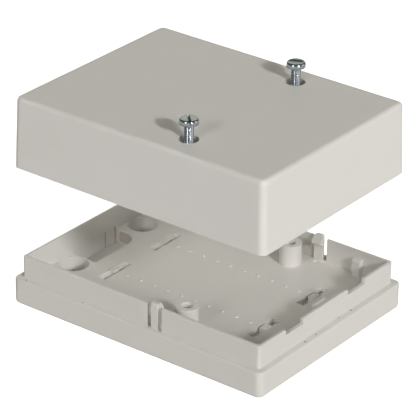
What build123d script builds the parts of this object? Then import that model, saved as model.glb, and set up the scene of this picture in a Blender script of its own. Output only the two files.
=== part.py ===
"""Mounting box for wall fixing: a base tray, a lift-off cover and the cover's two screws.

Millimetres, +Z up. The origin is the middle of the base's back face, which lies on the wall or
table. +X runs along the box's length and +Y across it. The cover is lifted off the base, and the
screws stand raised in their holes, as they do before the box is closed.
"""
from math import atan2, degrees
import os

from build123d import *

# Outline of the base; the cover is a little smaller all round
box_length = 130.0
box_width = 100.0
corner_radius = 3.0
cover_inset = 0.8

# Base: skirt that the cover stands on, and the rim that the cover drops over
skirt_height = 12.0
skirt_wall = 3.0
back_edge_radius = 1.8
step_edge_radius = 0.7
rim_height = 10.0
rim_wall = 1.5
rim_corner_radius = 1.5
rim_edge_chamfer = 0.4
floor_thickness = 2.0
floor_drop = 0.8

# Cover
cover_height = 31.8
cover_wall = 1.8
cover_top_thickness = 2.4
cover_draft_inset = 0.9
cover_edge_radius = 2.0
cover_inside_radius = 1.2
cover_rim_clearance = 0.4
cover_seat_gap = 0.1
cover_lift = 51.5

# Screw line: both screws stand at this place along the box, one near each long side
screw_x = 17.0
screw_spacing = 71.8

# Screws, M4 pan head with a slot
screw_diameter = 4.0
screw_length = 25.0
screw_tip_chamfer = 0.6
head_diameter = 8.0
head_height = 2.4
head_top_radius = 1.1
slot_width = 1.0
slot_depth = 1.2
screw_raise = 6.9
front_screw_turn = 134.0
rear_screw_turn = 24.0

# Screw columns in the cover
counterbore_clearance = 0.25
counterbore_depth = 5.0
column_wall = 1.6
column_tube_wall = 2.4
screw_hole_clearance = 0.3
column_boss_gap = 0.15
column_web_thickness = 1.4
column_web_height = 14.0

# Bosses on the base
boss_diameter = 9.8
boss_height = 9.6
boss_bore_clearance = 0.1
boss_bore_chamfer = 0.5
boss_floor = 1.4

# Snap tongues in the long sides of the rim, one beside each screw
tongue_offset = 8.3
tongue_width = 3.1
tongue_slit = 2.3
tongue_rise = 1.4
tongue_rib_width = 4.6
tongue_rib_thickness = 0.8
tongue_top_taper = 0.5
hook_reach = 2.7
hook_ramp = 3.2
hook_face = 0.4
slit_floor_gap = 0.2
ejector_mark_diameter = 2.2
ejector_mark_depth = 0.6

# The cable pocket and the cable notches sit a little towards the front
entry_shift = -1.7

# Locating pips in two rows
pip_count = 10
pip_pitch = 7.2
pip_diameter = 1.9
pip_height = 0.35
pip_taper = 0.4
pip_sides = 12
pip_row_spacing = 34.2
pip_first_x = -29.3

# Cable-tie anchors: a slot with a ramp down to it at both ends and a bridge between the ramps
anchor_left_x = -34.8
anchor_right_x = 40.9
anchor_spacing = 34.0
anchor_length = 18.0
anchor_slot_width = 1.1
anchor_ramp_reach = 3.0
anchor_bridge_length = 4.4
anchor_bridge_rise = 0.5

# Wall-fixing wells at the left end
well_x = -53.8
well_spacing = 47.0
well_diameter = 13.5
well_wall = 1.5
well_floor = 2.2
well_draft = 0.9
fixing_slot_diameter = 4.5
fixing_slot_length = 7.5

# Cable-entry pocket beside the left end wall, with a knock-out in the wall
pocket_length = 29.6
pocket_reach = 13.2
pocket_floor_top = 4.5
pocket_floor = 1.3
pocket_wall = 1.5
pocket_corner_radius = 8.0
knockout_width = 6.8
knockout_height = 8.2
knockout_corner_gap = 0.1
knockout_groove_width = 0.9
knockout_groove_depth = 0.6

# Cable notches in the right end of the rim, and the stop block between them
notch_width = 12.0
notch_spacing = 43.4
notch_depth = 2.2
stop_block_width = 8.0
stop_block_reach = 3.6
stop_block_drop = 0.9

# Locating lug on the back wall
lug_x = 45.9
lug_width = 3.8
lug_reach = 2.6
lug_height = 7.6
lug_top_radius = 1.2

# Places that follow from the sizes above
rim_inset = cover_inset + cover_wall + cover_rim_clearance
rim_length = box_length - 2 * rim_inset
rim_width = box_width - 2 * rim_inset
rim_top = skirt_height + rim_height
cover_length = box_length - 2 * cover_inset
cover_width = box_width - 2 * cover_inset
cover_space_length = cover_length - 2 * cover_wall
cover_space_width = cover_width - 2 * cover_wall
tray_length = rim_length - 2 * rim_wall
tray_width = rim_width - 2 * rim_wall
floor_top = skirt_height - floor_drop
floor_bottom = floor_top - floor_thickness
back_length = box_length - 2 * skirt_wall
back_width = box_width - 2 * skirt_wall
boss_top = floor_top + boss_height
boss_bore = screw_diameter + 2 * boss_bore_clearance
screw_y = screw_spacing / 2
cover_bottom = skirt_height + cover_seat_gap + cover_lift
cover_top = cover_bottom + cover_height
cover_draft = degrees(atan2(cover_draft_inset, cover_height))
column_bottom = boss_top + column_boss_gap + cover_lift
counterbore = head_diameter + 2 * counterbore_clearance
screw_hole = screw_diameter + 2 * screw_hole_clearance
OVERSHOOT = 1.0
PICK_RANGE = 0.01


def plate(length, width, radius, low, high):
    """A rounded rectangle drawn about the middle and raised from one height to another."""
    return Pos(0, 0, low) * extrude(RectangleRounded(length, width, radius), high - low)


def drafted_block(length, width, radius, height):
    """A block that narrows upwards with the cover's draft, with its upright edges rounded."""
    shape = extrude(Rectangle(length, width), height, taper=cover_draft)
    upright = shape.edges() - shape.edges().group_by(Axis.Z)[0] - shape.edges().group_by(Axis.Z)[-1]
    return fillet(upright, radius)


def block(x_low, x_high, y_low, y_high, z_low, z_high):
    """A plain block given by its lowest and highest places."""
    size = (x_high - x_low, y_high - y_low, z_high - z_low)
    middle = ((x_high + x_low) / 2, (y_high + y_low) / 2, (z_high + z_low) / 2)
    return Pos(*middle) * Box(*size)


def rod(x, y, diameter, low, high):
    """An upright round bar or bore."""
    return Pos(x, y, (low + high) / 2) * Cylinder(diameter / 2, high - low)


def edges_at_height(solid, height):
    """The edges that lie flat at one height."""
    return solid.edges().filter_by_position(Axis.Z, height - PICK_RANGE, height + PICK_RANGE)


def base_body():
    """The skirt, the rim on it and the floor between the tray above and the hollow back."""
    skirt = plate(box_length, box_width, corner_radius, 0, skirt_height)
    skirt = fillet(edges_at_height(skirt, 0), back_edge_radius)
    skirt = fillet(edges_at_height(skirt, skirt_height), step_edge_radius)
    rim = plate(rim_length, rim_width, rim_corner_radius, floor_bottom, rim_top)
    rim = chamfer(edges_at_height(rim, rim_top), rim_edge_chamfer)
    tray = plate(tray_length, tray_width, rim_corner_radius, floor_top, rim_top + OVERSHOOT)
    hollow = plate(back_length, back_width, corner_radius, -OVERSHOOT, floor_bottom)
    return skirt + rim - tray - hollow


def boss(side):
    """A screw boss that stands on the floor, side -1 at the front and 1 at the back."""
    return rod(screw_x, side * screw_y, boss_diameter, floor_bottom, boss_top)


def boss_hole(side):
    """The bore that the screw bites into, with a lead-in at its mouth."""
    bore = rod(screw_x, side * screw_y, boss_bore, floor_bottom + boss_floor, boss_top + OVERSHOOT)
    lead = Pos(screw_x, side * screw_y, boss_top - boss_bore_chamfer / 2) * Cone(
        boss_bore / 2, boss_bore / 2 + boss_bore_chamfer, boss_bore_chamfer)
    return bore + lead


def well_places():
    """The two wall-fixing wells, front then back."""
    return [(well_x, side * well_spacing / 2) for side in (-1, 1)]


def well_cup(x, y):
    """The wall round a fixing well, which reaches down to the wall plane."""
    return rod(x, y, well_diameter + 2 * well_wall, 0, floor_top)


def well_space(x, y):
    """The well itself, a little narrower at the bottom, and the slot for the wall screw."""
    depth = floor_top + OVERSHOOT - well_floor
    cup = Pos(x, y, well_floor + depth / 2) * Cone(well_diameter / 2 - well_draft, well_diameter / 2, depth)
    outline = SlotOverall(fixing_slot_length, fixing_slot_diameter, rotation=90)
    slot = Pos(x, y, -OVERSHOOT) * extrude(outline, well_floor + 2 * OVERSHOOT)
    return cup + slot


def pocket_outline(wall):
    """The cable pocket seen from above, with one round corner, grown by a wall."""
    length = pocket_reach + 2 * wall
    width = pocket_length + 2 * wall
    middle_x = (pocket_reach - tray_length) / 2
    outline = Pos(middle_x, entry_shift) * Rectangle(length, width)
    corner = outline.vertices().sort_by(Axis.X)[-2:].sort_by(Axis.Y)[-1]
    return fillet(corner, pocket_corner_radius + wall)


def pocket_cup():
    """The pocket's walls and floor, seen from the hollow back."""
    low = pocket_floor_top - pocket_floor
    return Pos(0, 0, low) * extrude(pocket_outline(pocket_wall), floor_top - low)


def pocket_space():
    """The room inside the pocket, open to the tray."""
    return Pos(0, 0, pocket_floor_top) * extrude(pocket_outline(0), floor_top + OVERSHOOT - pocket_floor_top)


def knockout_grooves():
    """Two thin grooves in the end wall that mark the piece to be broken out for a cable."""
    wall_x = -tray_length / 2
    far = entry_shift + pocket_length / 2 - knockout_corner_gap
    grooves = Part()
    for edge in (far, far - knockout_width):
        grooves += block(wall_x - knockout_groove_depth, wall_x + OVERSHOOT / 2,
                         edge - knockout_groove_width, edge,
                         pocket_floor_top, pocket_floor_top + knockout_height)
    return grooves


def anchor_places():
    """The four cable-tie anchors: the slot's middle and the side, -1 or 1, that the bridge grows from."""
    places = []
    for x, side in ((anchor_left_x, -1), (anchor_right_x, 1)):
        for row in (-1, 1):
            places.append((x, row * anchor_spacing / 2, side))
    return places


def anchor_cut(x, y, side):
    """The slot that a cable tie passes through, with a ramp down to it beyond each end of the bridge."""
    low = floor_bottom - OVERSHOOT
    high = floor_top + OVERSHOOT
    near = x - side * anchor_slot_width / 2
    far = x + side * anchor_slot_width / 2
    cut = block(min(near, far), max(near, far), y - anchor_length / 2, y + anchor_length / 2, low, high)
    outer = far + side * anchor_ramp_reach
    ramp = make_face(Polyline((near, low), (far, low), (far, floor_bottom), (outer, floor_top), (outer, high),
                              (near, high), close=True))
    ramp_length = (anchor_length - anchor_bridge_length) / 2
    for start in (y - anchor_bridge_length / 2, y + anchor_length / 2):
        cut += Pos(0, start, 0) * extrude(Plane.XZ * ramp, ramp_length)
    return cut


def anchor_bridge(x, y, side):
    """The raised back of the bridge that the tie is pulled down over."""
    lip = x + side * anchor_slot_width / 2
    root = lip + side * anchor_ramp_reach
    half = anchor_bridge_length / 2
    top = floor_top + anchor_bridge_rise
    back = block(min(root, lip), max(root, lip), y - half, y + half, floor_bottom, top)
    return fillet(edges_at_height(back, top).filter_by(Axis.Y), anchor_bridge_rise / 2)


def pips():
    """Two rows of low round pips on the floor."""
    outline = RegularPolygon(pip_diameter / 2, pip_sides)
    pip = extrude(outline, pip_height, taper=degrees(atan2(pip_taper, pip_height)))
    rows = []
    for side in (-1, 1):
        for index in range(pip_count):
            rows.append(Pos(pip_first_x + index * pip_pitch, side * pip_row_spacing / 2, floor_top) * pip)
    return rows


def tongue_x(side):
    """The middle of a snap tongue along the box."""
    return screw_x + side * tongue_offset


def tongue_slits(side):
    """The two slits that free a tongue from the rim, cut down to the step."""
    outer = side * (rim_width / 2 + OVERSHOOT)
    inner = side * (tray_width / 2 - OVERSHOOT)
    slits = Part()
    for edge in (-1, 1):
        middle = tongue_x(side) + edge * (tongue_width + tongue_slit) / 2
        slits += block(middle - tongue_slit / 2, middle + tongue_slit / 2, min(outer, inner), max(outer, inner),
                       floor_top + slit_floor_gap, rim_top + OVERSHOOT)
    return slits


def tongue_rib(side):
    """The wider rib inside a tongue, which rises above the rim and ends in the hook."""
    inner = tray_width / 2
    face = inner - tongue_rib_thickness
    top = rim_top + tongue_rise
    tip = top - hook_ramp
    points = [(inner, floor_bottom), (inner, top), (face, top), (inner - hook_reach, tip),
              (inner - hook_reach, tip - hook_face), (face, tip - hook_face - hook_reach / 2), (face, floor_bottom)]
    profile = make_face(Polyline(*[(side * across, up) for across, up in points], close=True))
    rib = extrude(Plane.YZ * profile, tongue_rib_width / 2, both=True)
    rib = chamfer(rib.edges().group_by(Axis.Z)[-1].filter_by(Axis.Y), tongue_top_taper)
    return Pos(tongue_x(side), 0, 0) * rib


def tongue_top(side):
    """The part of a tongue that stands above the rim, in line with the rim's wall."""
    outer = rim_width / 2
    inner = tray_width / 2
    top = rim_top + tongue_rise
    points = [(inner, rim_top - rim_height / 2), (outer, rim_top - rim_height / 2),
              (outer, top - tongue_top_taper), (outer - tongue_top_taper, top), (inner, top)]
    profile = make_face(Polyline(*[(side * across, up) for across, up in points], close=True))
    return Pos(tongue_x(side), 0, 0) * extrude(Plane.YZ * profile, tongue_width / 2, both=True)


def ejector_mark(side):
    """A shallow round mark on the floor at the foot of a tongue."""
    y = side * (tray_width / 2 - tongue_rib_thickness - ejector_mark_diameter / 2 - slit_floor_gap)
    return rod(tongue_x(side), y, ejector_mark_diameter, floor_top - ejector_mark_depth, floor_top + OVERSHOOT)


def end_notches():
    """Two shallow notches in the right end of the rim, where cables come in under the cover."""
    notches = Part()
    for row in (-1, 1):
        y = entry_shift + row * notch_spacing / 2
        notches += block(tray_length / 2 - OVERSHOOT, rim_length / 2 + OVERSHOOT,
                         y - notch_width / 2, y + notch_width / 2, rim_top - notch_depth, rim_top + OVERSHOOT)
    return notches


def stop_block():
    """The block inside the right end wall, between the notches."""
    return block(tray_length / 2 - stop_block_reach, tray_length / 2 + rim_wall / 2,
                 -stop_block_width / 2, stop_block_width / 2, floor_bottom + floor_thickness / 2,
                 rim_top - stop_block_drop)


def wall_lug():
    """The small lug that stands out from the back wall."""
    lug = block(lug_x - lug_width / 2, lug_x + lug_width / 2, tray_width / 2 - lug_reach,
                tray_width / 2 + rim_wall / 2, floor_bottom + floor_thickness / 2, floor_top + lug_height)
    front_top = edges_at_height(lug, floor_top + lug_height).sort_by(Axis.Y)[0]
    return fillet(front_top, lug_top_radius)


def make_base():
    """The base, one moulding."""
    base = base_body()
    for side in (-1, 1):
        base += boss(side)
    for x, y in well_places():
        base += well_cup(x, y)
    base += pocket_cup()
    base -= pocket_space()
    base -= knockout_grooves()
    for x, y in well_places():
        base -= well_space(x, y)
    for place in anchor_places():
        base -= anchor_cut(*place)
        base += anchor_bridge(*place)
    for side in (-1, 1):
        base -= tongue_slits(side)
        base += tongue_top(side) + tongue_rib(side)
        base -= ejector_mark(side)
        base -= boss_hole(side)
    base -= end_notches()
    base += stop_block() + wall_lug()
    base += pips()
    return base


def cover_shell():
    """The cover's drafted top and four walls, hollow from below."""
    outside = drafted_block(cover_length, cover_width, corner_radius, cover_height)
    outside = fillet(edges_at_height(outside, cover_height), cover_edge_radius)
    inside = drafted_block(cover_space_length, cover_space_width, cover_inside_radius,
                           cover_height - cover_top_thickness)
    return Pos(0, 0, cover_bottom) * (outside - inside)


def screw_column(side):
    """The column that guides a screw from the cover's top down to its boss, with its web."""
    y = side * screw_y
    cup_bottom = cover_top - counterbore_depth - column_wall
    column = rod(screw_x, y, counterbore + 2 * column_wall, cup_bottom, cover_top - cover_top_thickness / 2)
    column += rod(screw_x, y, screw_hole + 2 * column_tube_wall, column_bottom, cup_bottom + column_wall / 2)
    wall_y = side * (cover_width / 2 - cover_draft_inset - cover_wall / 2)
    column += block(screw_x - column_web_thickness / 2, screw_x + column_web_thickness / 2, min(y, wall_y),
                    max(y, wall_y), cover_bottom + column_web_height, cover_top - cover_top_thickness / 2)
    return column


def screw_passage(side):
    """The counterbore for the head and the clearance hole below it."""
    y = side * screw_y
    passage = rod(screw_x, y, counterbore, cover_top - counterbore_depth, cover_top + OVERSHOOT)
    return passage + rod(screw_x, y, screw_hole, column_bottom - OVERSHOOT, cover_top)


def make_cover():
    """The cover, one moulding, lifted clear of the base."""
    cover = cover_shell()
    for side in (-1, 1):
        cover += screw_column(side)
    for side in (-1, 1):
        cover -= screw_passage(side)
    return cover


def head_slot(turn):
    """The screwdriver slot across the head."""
    return Rot(0, 0, turn) * Box(head_diameter + OVERSHOOT, slot_width, 2 * slot_depth)


def make_screw(side, turn):
    """A cover screw, raised in its hole, its slot turned to an angle."""
    head = Cylinder(head_diameter / 2, head_height, align=(Align.CENTER, Align.CENTER, Align.MIN))
    head = fillet(edges_at_height(head, head_height), head_top_radius)
    shank = Cylinder(screw_diameter / 2, screw_length, align=(Align.CENTER, Align.CENTER, Align.MAX))
    shank = chamfer(edges_at_height(shank, -screw_length), screw_tip_chamfer)
    screw = head + shank - Pos(0, 0, head_height) * head_slot(turn)
    return Pos(screw_x, side * screw_y, cover_top + screw_raise) * screw


parts = {
    "base": make_base(),
    "cover": make_cover(),
    "front_screw": make_screw(-1, front_screw_turn),
    "rear_screw": make_screw(1, rear_screw_turn),
}

os.makedirs("parts", exist_ok=True)
for name, solid in parts.items():
    export_step(solid, "parts/" + name + ".step")
    print(name, "volume", round(solid.volume), "solids", len(solid.solids()))
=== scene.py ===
"""Looks for the mounting box: satin grey plastic, zinc screws with cut threads, a plain studio."""
import math

import bmesh
import bpy
from mathutils import Matrix, Quaternion, Vector


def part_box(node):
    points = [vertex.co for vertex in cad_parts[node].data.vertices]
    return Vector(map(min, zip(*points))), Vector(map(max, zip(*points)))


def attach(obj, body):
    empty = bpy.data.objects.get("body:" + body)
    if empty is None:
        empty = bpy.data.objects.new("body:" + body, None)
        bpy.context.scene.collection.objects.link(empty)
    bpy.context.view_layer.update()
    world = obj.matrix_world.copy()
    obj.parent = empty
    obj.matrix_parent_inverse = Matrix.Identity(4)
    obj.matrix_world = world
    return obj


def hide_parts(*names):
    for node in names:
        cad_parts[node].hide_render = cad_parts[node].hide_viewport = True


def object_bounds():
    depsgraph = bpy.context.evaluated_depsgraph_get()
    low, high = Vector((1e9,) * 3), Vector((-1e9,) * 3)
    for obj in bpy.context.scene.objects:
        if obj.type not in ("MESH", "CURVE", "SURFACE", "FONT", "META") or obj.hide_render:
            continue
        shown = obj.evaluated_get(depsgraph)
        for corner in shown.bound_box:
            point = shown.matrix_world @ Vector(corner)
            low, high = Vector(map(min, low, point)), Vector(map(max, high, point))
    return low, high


MM = 0.001

# Camera, as the photograph was taken
CAMERA_AZIMUTH = 37.145
CAMERA_ELEVATION = 26.679
CAMERA_ROLL = 0.861
CAMERA_DISTANCE = 1.108
CAMERA_TARGET = Vector((0.534, 0.405, 44.705)) * MM
CAMERA_LENS = 228.47
SENSOR_WIDTH = 36.0

# Lights: a name, the direction and the height each shines from and its width in the sky in
# degrees, how brightly it lights a surface that faces it as a share of what turns plain white into
# full white, what it lights, and whether only the pieces that it lights throw its shadows
LIGHTS = [("key_light", -20.0, 25.2, 6.0, (0.72, 0.70, 0.70), "others", False),
          ("fill_light", 35.0, 15.0, 30.0, (0.08, 0.08, 0.08), "others", False),
          ("base_key_light", -20.0, 25.6, 8.0, (0.51, 0.50, 0.51), "base", False),
          ("base_fill_light", 35.0, 15.0, 30.0, (0.10, 0.10, 0.10), "base", False),
          ("tray_light", -20.0, 45.0, 30.0, (0.11, 0.11, 0.11), "base", True),
          ("second_light", -90.0, 24.5, 20.0, (0.235, 0.235, 0.235), "everything", False)]

# The studio round the box: dim, with one bright wall behind it
STUDIO_LIGHT = 0.09
STUDIO_TINT = (1.0, 0.98, 0.83)
WALL_LIGHT = 0.44
WALL_AZIMUTH = 127.0
WALL_ELEVATION = 28.0
WALL_EDGES = (22.0, 45.0)

# The paper floor, which glows for the camera alone, and less under the box than beside it
FLOOR_TONE = (0.78, 0.77, 0.75)
FLOOR_ROUGHNESS = 0.9
FLOOR_SIZE = 3.0
FLOOR_GAP = 0.02 * MM
FLOOR_SHADE = 3.0 * MM
FLOOR_GLOW = 0.12
BLACK = (0.0, 0.0, 0.0)
WHITE = (1.0, 1.0, 1.0)

# Screws, with the turn of each one's slot in degrees
SLOT_TURNS = {"front_screw": 134.0, "rear_screw": 24.0}
HEAD_HEIGHT = 2.4 * MM
HEAD_OVERLAP = 0.01 * MM
SLOT_WIDTH = 1.0 * MM
SLOT_DEPTH = 1.2 * MM
SLOT_SKIN = 0.05 * MM
SHANK_RADIUS = 2.0 * MM
THREAD_PITCH = 0.7 * MM
THREAD_DEPTH = 0.43 * MM
THREAD_CREST = THREAD_PITCH / 8
THREAD_ROOT = THREAD_PITCH / 4
THREAD_SIDES = 40
TIP_CHAMFER = 0.6 * MM
TIP_SHARE = 0.8
SMOOTH_ANGLE = math.radians(70)
THREAD_MERGE = THREAD_CREST / 20
HEAD_MERGE = 0.001 * MM

# Plastic: tones, the share of a tone left in its darker clouds, and the size of its patches
BASE_TONE = (0.755, 0.74, 0.70)
COVER_TONE = (0.76, 0.75, 0.72)
PLASTIC_DIP = 0.97
PLASTIC_CLOUD = 40 * MM
PLASTIC_FLOW = 9 * MM
PLASTIC_GRAIN = 0.35 * MM
GRAIN_DETAIL = 3.0
GRAIN_DEPTH = 0.006 * MM
PLASTIC_ROUGHNESS = 0.30
FLOW_ROUGHNESS = 0.12

# Zinc plating, and the dull slots, darkened with painted shade
ZINC_TONE = (0.62, 0.69, 0.76)
# Painted shade for the walls and floor of the screw slots
SLOT_SHADE_TONE = (0.16, 0.19, 0.21)
ZINC_DIP = 0.88
ZINC_CLOUD = 1.2 * MM
ZINC_SPANGLE = 0.6 * MM
ZINC_ROUGHNESS = 0.12
SPANGLE_ROUGHNESS = 0.08
SLOT_ROUGHNESS = 0.4

# Specks and stains that the box shows, and painted shade, in mm: place, radius, soft edge, reach up
# and down, tone, strength
SPECK_TONE = (0.16, 0.15, 0.13)
STAIN_TONE = (0.72, 0.69, 0.61)
# Painted shade: a brownish, darker tone for the far end wall of the base's sunk pocket
POCKET_SHADE_TONE = (0.50, 0.42, 0.37)
BASE_MARKS_AND_SHADE = [((-58.7, -48.5, 12.0), 0.25, 0.3, 1.0, SPECK_TONE, 0.8),
              ((-27.7, -48.6, 12.0), 0.2, 0.25, 1.0, SPECK_TONE, 0.8),
              ((63.2, -17.3, 12.0), 0.3, 0.3, 1.0, SPECK_TONE, 1.0),
              ((63.1, -9.7, 12.0), 0.25, 0.3, 1.0, SPECK_TONE, 0.8),
              ((62.5, 16.1, 12.0), 0.3, 0.3, 1.0, SPECK_TONE, 0.9),
              ((62.2, 7.5, 12.0), 0.3, 0.6, 1.0, SPECK_TONE, 0.3),
              # Painted shade on the far end wall of the sunk pocket, not a stain
              ((-53.5, 13.1, 8.3), 4.4, 1.6, 2.6, POCKET_SHADE_TONE, 0.85)]
COVER_MARKS = [((-57.5, -49.0, 74.0), 2.0, 5.0, 10.0, STAIN_TONE, 0.3),
               ((-42.9, -49.0, 80.6), 1.0, 4.0, 10.0, STAIN_TONE, 0.25)]

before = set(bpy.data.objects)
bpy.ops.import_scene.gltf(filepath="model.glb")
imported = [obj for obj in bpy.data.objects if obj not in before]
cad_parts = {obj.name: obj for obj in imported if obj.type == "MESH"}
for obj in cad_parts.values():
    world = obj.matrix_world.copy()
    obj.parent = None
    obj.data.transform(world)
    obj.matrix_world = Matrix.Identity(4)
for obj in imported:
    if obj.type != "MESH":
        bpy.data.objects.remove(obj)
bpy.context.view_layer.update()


class Socket:
    """A shader value that takes part in plain arithmetic."""

    def __init__(self, tree, link):
        self.tree = tree
        self.link = link

    def math(self, operation, *values):
        return self.tree.node("ShaderNodeMath", {"operation": operation}, dict(enumerate(values)))

    def __add__(self, other):
        return self.math("ADD", self, other)

    def __radd__(self, other):
        return self.math("ADD", other, self)

    def __sub__(self, other):
        return self.math("SUBTRACT", self, other)

    def __rsub__(self, other):
        return self.math("SUBTRACT", other, self)

    def __mul__(self, other):
        return self.math("MULTIPLY", self, other)

    def __rmul__(self, other):
        return self.math("MULTIPLY", other, self)

    def within(self, reach):
        """1 where the value is nearer to 0 than the reach, else 0."""
        return self.math("LESS_THAN", self.math("ABSOLUTE", self), reach)


class Shading:
    """A node tree whose nodes are added one call at a time."""

    def __init__(self, tree, shader):
        self.nodes = tree.nodes
        self.links = tree.links
        self.shader = self.nodes[shader]

    def feed(self, target, value):
        if isinstance(value, Socket):
            self.links.new(value.link, target)
        else:
            target.default_value = value

    def node(self, kind, settings=None, values=None, output=0):
        made = self.nodes.new(kind)
        for key, value in (settings or {}).items():
            setattr(made, key, value)
        for key, value in (values or {}).items():
            self.feed(made.inputs[key], value)
        return Socket(self, made.outputs[output])

    def vector(self, operation, first, second):
        """A number from two vectors, such as their distance."""
        return self.node("ShaderNodeVectorMath", {"operation": operation},
                         {0: first, 1: tuple(second)}, output="Value")

    def place(self, kind="Object"):
        return self.node("ShaderNodeTexCoord", output=kind)

    def axis(self, where, name):
        return self.node("ShaderNodeSeparateXYZ", values={"Vector": where}, output=name)

    def noise(self, where, size, detail=2.0):
        """Cloudy noise from 0 to 1 whose patches are about the given size in metres."""
        return self.node("ShaderNodeTexNoise", {"noise_dimensions": "3D"},
                         {"Vector": where, "Scale": 1.0 / size, "Detail": detail})

    def fade(self, value, start, end):
        """0 at the start and 1 at the end, with a soft change between."""
        return self.node("ShaderNodeMapRange", {"interpolation_type": "SMOOTHSTEP"},
                         {"Value": value, "From Min": start, "From Max": end})

    def blend(self, share, first, second):
        """A colour between two, by a share from 0 to 1."""
        return self.node("ShaderNodeMix", {"data_type": "RGBA"},
                         {"Factor": share, "A": first, "B": second}, output="Result")

    def cloudy(self, share, tone, dip):
        """A tone that falls to its darker form by a share from 1 to 0."""
        return self.blend(share, opaque(level * dip for level in tone), opaque(tone))

    def bump(self, height, depth):
        """A normal that follows a height from 0 to 1, at the given depth in metres."""
        return self.node("ShaderNodeBump", values={"Height": height, "Distance": depth})

    def set(self, **values):
        for key, value in values.items():
            self.feed(self.shader.inputs[key.replace("_", " ")], value)


class Finish(Shading):
    """A material of its own."""

    def __init__(self, name):
        self.material = bpy.data.materials.new(name)
        self.material.use_nodes = True
        super().__init__(self.material.node_tree, "Principled BSDF")


def opaque(tone):
    """A tone as a colour that nothing shows through."""
    return (*tone, 1.0)


def direction(azimuth, elevation):
    """The unit vector towards a compass direction, from +X towards +Y, and a height."""
    turn, rise = math.radians(azimuth), math.radians(elevation)
    level = math.cos(rise)
    return Vector((math.cos(turn) * level, math.sin(turn) * level, math.sin(rise)))


def add_object(name, data):
    made = bpy.data.objects.new(name, data)
    bpy.context.scene.collection.objects.link(made)
    return made


def point_at(thing, towards):
    """Turns a camera or a lamp so that it looks along a direction."""
    thing.rotation_mode = "QUATERNION"
    thing.rotation_quaternion = towards.to_track_quat("-Z", "Y")


def add_camera():
    """The camera, whose azimuth is counted from -Y towards +X."""
    turn, rise = math.radians(CAMERA_AZIMUTH), math.radians(CAMERA_ELEVATION)
    level = math.cos(rise)
    back = Vector((math.sin(turn) * level, -math.cos(turn) * level, math.sin(rise)))
    data = bpy.data.cameras.new("camera")
    data.lens = CAMERA_LENS
    data.sensor_width = SENSOR_WIDTH
    camera = add_object("camera", data)
    camera.location = CAMERA_TARGET + back * CAMERA_DISTANCE
    point_at(camera, -back)
    camera.rotation_quaternion @= Quaternion((0, 0, 1), math.radians(CAMERA_ROLL))
    bpy.context.scene.camera = camera


def gather(name, things):
    """A collection of its own for a light's list of objects."""
    collection = bpy.data.collections.new(name)
    for thing in things:
        collection.objects.link(thing)
    return collection


def add_light(name, azimuth, elevation, width, level, lit, own_shadows):
    """A distant soft lamp for the given objects, so that every face it meets is lit evenly."""
    data = bpy.data.lights.new(name, "SUN")
    data.energy = max(level) * math.pi
    data.color = [share / max(level) for share in level]
    data.angle = math.radians(width)
    light = add_object(name, data)
    point_at(light, -direction(azimuth, elevation))
    light.light_linking.receiver_collection = gather(name + "_receivers", lit)
    if own_shadows:
        light.light_linking.blocker_collection = gather(name + "_blockers", lit)


def add_lights():
    """All lamps. The base has its own, because the photograph lights it apart from the cover."""
    base = [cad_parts["base"]]
    others = [thing for thing in bpy.context.scene.objects
              if thing.type == "MESH" and thing not in base]
    groups = {"base": base, "others": others, "everything": others + base}
    for name, azimuth, elevation, width, level, group, own_shadows in LIGHTS:
        add_light(name, azimuth, elevation, width, level, groups[group], own_shadows)


def add_studio():
    """The light that comes from all round, brighter where the wall behind the box stands."""
    world = bpy.data.worlds.new("studio")
    world.use_nodes = True
    bpy.context.scene.world = world
    studio = Shading(world.node_tree, "Background")
    wall = direction(WALL_AZIMUTH, WALL_ELEVATION)
    facing = studio.vector("DOT_PRODUCT", studio.place("Generated"), wall)
    inner, outer = (math.cos(math.radians(edge)) for edge in WALL_EDGES)
    on_wall = studio.fade(facing, outer, inner)
    studio.set(Color=opaque(STUDIO_TINT), Strength=on_wall * WALL_LIGHT + STUDIO_LIGHT)


def add_floor():
    """A wide sheet of paper, lit so that the camera sees it as plain white."""
    mesh = bpy.data.meshes.new("floor")
    shape = bmesh.new()
    bmesh.ops.create_grid(shape, x_segments=1, y_segments=1, size=FLOOR_SIZE)
    shape.to_mesh(mesh)
    shape.free()
    floor = add_object("floor", mesh)
    floor.location.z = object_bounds()[0].z - FLOOR_GAP
    paper = Finish("floor_paper")
    along, across = (paper.axis(paper.place(), name) for name in "XY")
    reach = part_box("base")[1]
    beside = 1.0 - along.within(reach.x - FLOOR_SHADE) * across.within(reach.y - FLOOR_SHADE)
    seen = paper.node("ShaderNodeLightPath", output="Is Camera Ray")
    glow = seen * (beside * (1 - FLOOR_GLOW) + FLOOR_GLOW)
    paper.set(Base_Color=opaque(FLOOR_TONE), Roughness=FLOOR_ROUGHNESS, Specular_IOR_Level=0.0,
              Emission_Color=paper.blend(glow, opaque(BLACK), opaque(WHITE)),
              Emission_Strength=1.0)
    mesh.materials.append(paper.material)


def plastic(name, tone, marks_and_shade):
    """Satin moulded plastic, warm light grey, a little uneven in tone and gloss, with the specks,
    stains and painted shade in its list.
    """
    finish = Finish(name)
    where = finish.place()
    height = finish.axis(where, "Z")
    colour = finish.cloudy(finish.noise(where, PLASTIC_CLOUD), tone, PLASTIC_DIP)
    # Each entry darkens a soft round spot: specks and stains, and on the base painted shade in the
    # pocket
    for place, radius, edge, band, mark_and_shade_tone, strength in marks_and_shade:
        away = finish.vector("DISTANCE", where, Vector(place) * MM)
        near = finish.fade(away, radius * MM + edge * MM, radius * MM)
        share = near * (height - place[2] * MM).within(band * MM) * strength
        colour = finish.blend(share, colour, opaque(mark_and_shade_tone))
    flow = finish.noise(where, PLASTIC_FLOW)
    grain = finish.noise(where, PLASTIC_GRAIN, detail=GRAIN_DETAIL)
    finish.set(Base_Color=colour, Roughness=PLASTIC_ROUGHNESS + FLOW_ROUGHNESS * flow,
               Normal=finish.bump(grain, GRAIN_DEPTH))
    return finish.material


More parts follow.
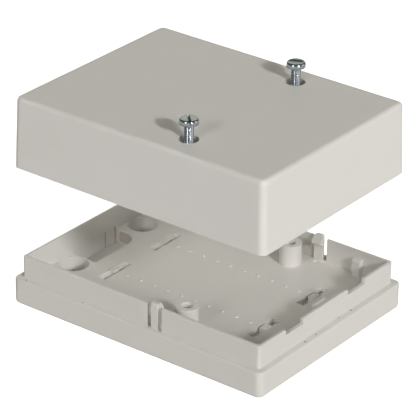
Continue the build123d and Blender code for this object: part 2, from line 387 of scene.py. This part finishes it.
def slot_share(finish, where, name):
    """1 on the walls and the floor of a screw's slot, else 0."""
    low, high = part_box(name)
    middle = (low + high) / 2
    turn = math.radians(SLOT_TURNS[name])
    normal = Vector((-math.sin(turn), math.cos(turn), 0.0))
    aside = finish.vector("DOT_PRODUCT", where, normal) - normal.dot(middle)
    deep = finish.axis(where, "Z") - (high.z - SLOT_DEPTH / 2 - SLOT_SKIN)
    own = finish.axis(where, "Y") - middle.y
    return (aside.within(SLOT_WIDTH / 2 + SLOT_SKIN) * deep.within(SLOT_DEPTH / 2)
            * own.within(HEAD_HEIGHT * 2))


def zinc(name):
    """Bright zinc plating with a faint blue cast, a little cloudy, dull in the slots and darkened
    there with painted shade.
    """
    finish = Finish(name)
    where = finish.place()
    colour = finish.cloudy(finish.noise(where, ZINC_CLOUD), ZINC_TONE, ZINC_DIP)
    slots = slot_share(finish, where, "front_screw") + slot_share(finish, where, "rear_screw")
    spangle = finish.noise(where, ZINC_SPANGLE)
    # The slots get painted shade in their colour, and a duller gloss
    finish.set(Base_Color=finish.blend(slots, colour, opaque(SLOT_SHADE_TONE)), Metallic=1.0,
               Roughness=ZINC_ROUGHNESS + SPANGLE_ROUGHNESS * spangle + SLOT_ROUGHNESS * slots)
    return finish.material


def dress(node, material):
    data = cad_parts[node].data
    data.materials.clear()
    data.materials.append(material)


def edges_of(parts):
    return [part for part in parts if isinstance(part, bmesh.types.BMEdge)]


def cut_off(shape, height, side):
    """Cuts off what lies above a height (side 1) or below it (side -1), and returns the rim."""
    everything = shape.verts[:] + shape.edges[:] + shape.faces[:]
    cut = bmesh.ops.bisect_plane(shape, geom=everything, plane_co=(0, 0, height),
                                 plane_no=(0, 0, side), clear_outer=True)
    return edges_of(cut["geom_cut"])


def spin_thread(shape, axis, top, bottom):
    """The thread, one profile spun up its axis in a helix past both ends of the shank."""
    turns = math.ceil((top - bottom) / THREAD_PITCH) + 2
    start = bottom - THREAD_PITCH
    root = SHANK_RADIUS - THREAD_DEPTH
    flank = (THREAD_PITCH - THREAD_CREST - THREAD_ROOT) / 2
    profile = ((root, 0.0), (root, THREAD_ROOT), (SHANK_RADIUS, THREAD_ROOT + flank),
               (SHANK_RADIUS, THREAD_ROOT + flank + THREAD_CREST), (root, THREAD_PITCH))
    points = [shape.verts.new((axis.x + across, axis.y, start + up)) for across, up in profile]
    lines = [shape.edges.new(pair) for pair in zip(points, points[1:])]
    bmesh.ops.spin(shape, geom=points + lines, cent=axis, axis=(0, 0, 1),
                   angle=math.tau * turns, steps=THREAD_SIDES * turns,
                   dvec=(0, 0, THREAD_PITCH / THREAD_SIDES))
    bmesh.ops.remove_doubles(shape, verts=shape.verts, dist=THREAD_MERGE)


def blunt_tip(shape, axis, rim):
    """The chamfered tip, drawn down and in from the rim of the cut thread and closed."""
    tip = bmesh.ops.extrude_edge_only(shape, edges=rim)["geom"]
    corners = [part for part in tip if isinstance(part, bmesh.types.BMVert)]
    bmesh.ops.translate(shape, verts=corners, vec=(0, 0, -TIP_CHAMFER))
    bmesh.ops.scale(shape, verts=corners, vec=(TIP_SHARE, TIP_SHARE, 1.0),
                    space=Matrix.Translation(-axis))
    bmesh.ops.edgeloop_fill(shape, edges=edges_of(tip))


def cad_head(source, underside):
    """The head of the screw's CAD node, as a mesh that is closed below."""
    head = bmesh.new()
    head.from_mesh(source.data)
    bmesh.ops.remove_doubles(head, verts=head.verts, dist=HEAD_MERGE)
    bmesh.ops.edgeloop_fill(head, edges=cut_off(head, underside - HEAD_OVERLAP, -1))
    mesh = bpy.data.meshes.new(source.name + "_head")
    head.to_mesh(mesh)
    head.free()
    return mesh


def cut_screw(name, steel):
    """A screw with the head of its CAD node and a shank with a real thread."""
    low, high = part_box(name)
    axis = (low + high) / 2
    axis.z = 0.0
    underside = high.z - HEAD_HEIGHT
    shank_end = low.z + TIP_CHAMFER
    shape = bmesh.new()
    spin_thread(shape, axis, underside, shank_end)
    bmesh.ops.edgeloop_fill(shape, edges=cut_off(shape, underside, 1))
    blunt_tip(shape, axis, cut_off(shape, shank_end, -1))
    head = cad_head(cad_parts[name], underside)
    shape.from_mesh(head)
    bpy.data.meshes.remove(head)
    bmesh.ops.recalc_face_normals(shape, faces=shape.faces)
    mesh = bpy.data.meshes.new(name + "_threaded")
    shape.to_mesh(mesh)
    shape.free()
    mesh.shade_smooth()
    mesh.set_sharp_from_angle(angle=SMOOTH_ANGLE)
    mesh.materials.append(steel)
    screw = add_object(name + "_threaded", mesh)
    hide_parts(name)
    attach(screw, name)


zinc_plate = zinc("zinc_plated_steel")
dress("base", plastic("base_plastic", BASE_TONE, BASE_MARKS_AND_SHADE))
dress("cover", plastic("cover_plastic", COVER_TONE, COVER_MARKS))
for screw_name in SLOT_TURNS:
    cut_screw(screw_name, zinc_plate)

add_floor()
add_studio()
add_lights()
add_camera()
bpy.context.scene.view_settings.view_transform = "Standard"
